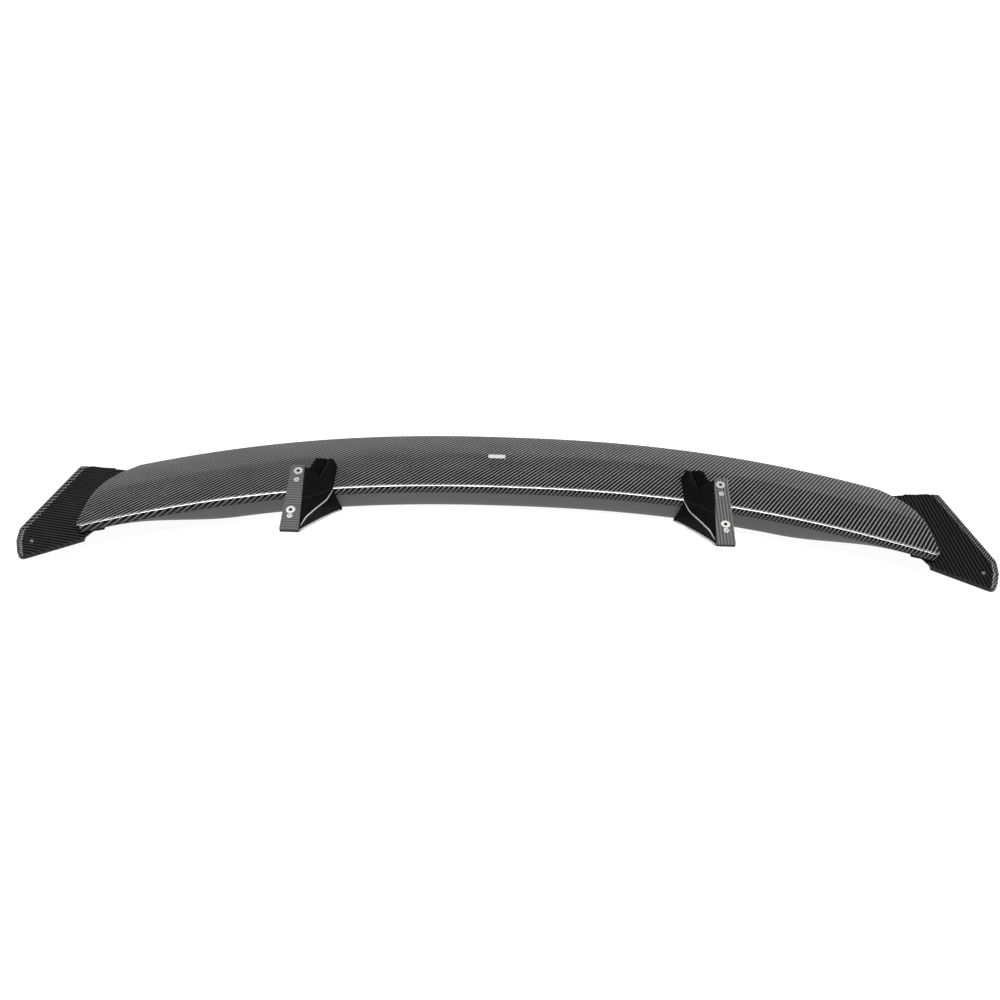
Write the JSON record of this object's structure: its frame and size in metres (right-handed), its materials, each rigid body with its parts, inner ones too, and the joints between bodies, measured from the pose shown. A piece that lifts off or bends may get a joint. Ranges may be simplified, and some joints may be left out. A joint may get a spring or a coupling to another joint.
{
  "type": "racing rear wing",
  "caption": "Carbon rear wing for a coupe boot lid, lying feet up, with a hollow swept blade, two splayed pylons and raked end plates.",
  "frame": {"origin": "centre of the four boot-lid bolts, on the plane that the two feet bolt down to", "axes": "+X along the span, +Y from the nose to the trailing edge, +Z out of the feet towards the boot lid (the wing lies feet up)"},
  "size_m": [1.4746, 0.3446, 0.1688],
  "materials": {
    "gloss_carbon": "clear-coated twill",
    "dark_carbon": "clear-coated twill, dark",
    "satin_skin": "satin",
    "raw_carbon": "raw woven, uncoated",
    "bright_metal": "bright zinc",
    "milled_aluminium": "milled",
    "core_board": "foam board",
    "adhesive": "structural adhesive"
  },
  "bodies": {
    "root": {"blade_lower_skin": "gloss_carbon", "blade_upper_skin": "satin_skin", "front_spar": "core_board", "trailing_edge_bond": "adhesive", "badge_plate": "bright_metal", "tip_block_left": "dark_carbon", "tip_block_right": "dark_carbon", "hardpoint_block_left": "milled_aluminium", "hardpoint_block_right": "milled_aluminium", "pylon_inner_shell_left": "dark_carbon", "pylon_inner_shell_right": "dark_carbon", "pylon_outer_shell_left": "dark_carbon", "pylon_outer_shell_right": "dark_carbon", "pylon_saddle_left": "dark_carbon", "pylon_saddle_right": "dark_carbon", "saddle_bolts_left": "bright_metal", "saddle_bolts_right": "bright_metal", "foot_plate_left": "raw_carbon", "foot_plate_right": "raw_carbon", "foot_inserts_left": "bright_metal", "foot_inserts_right": "bright_metal", "foot_screws_left": "bright_metal", "foot_screws_right": "bright_metal", "end_plate_panel_left": "dark_carbon", "end_plate_panel_right": "dark_carbon", "end_plate_body_left": "dark_carbon", "end_plate_body_right": "dark_carbon", "end_plate_bolts_left": "bright_metal", "end_plate_bolts_right": "bright_metal", "end_plate_tip_screw_left": "bright_metal", "end_plate_tip_screw_right": "bright_metal"}
  },
  "joints": []
}
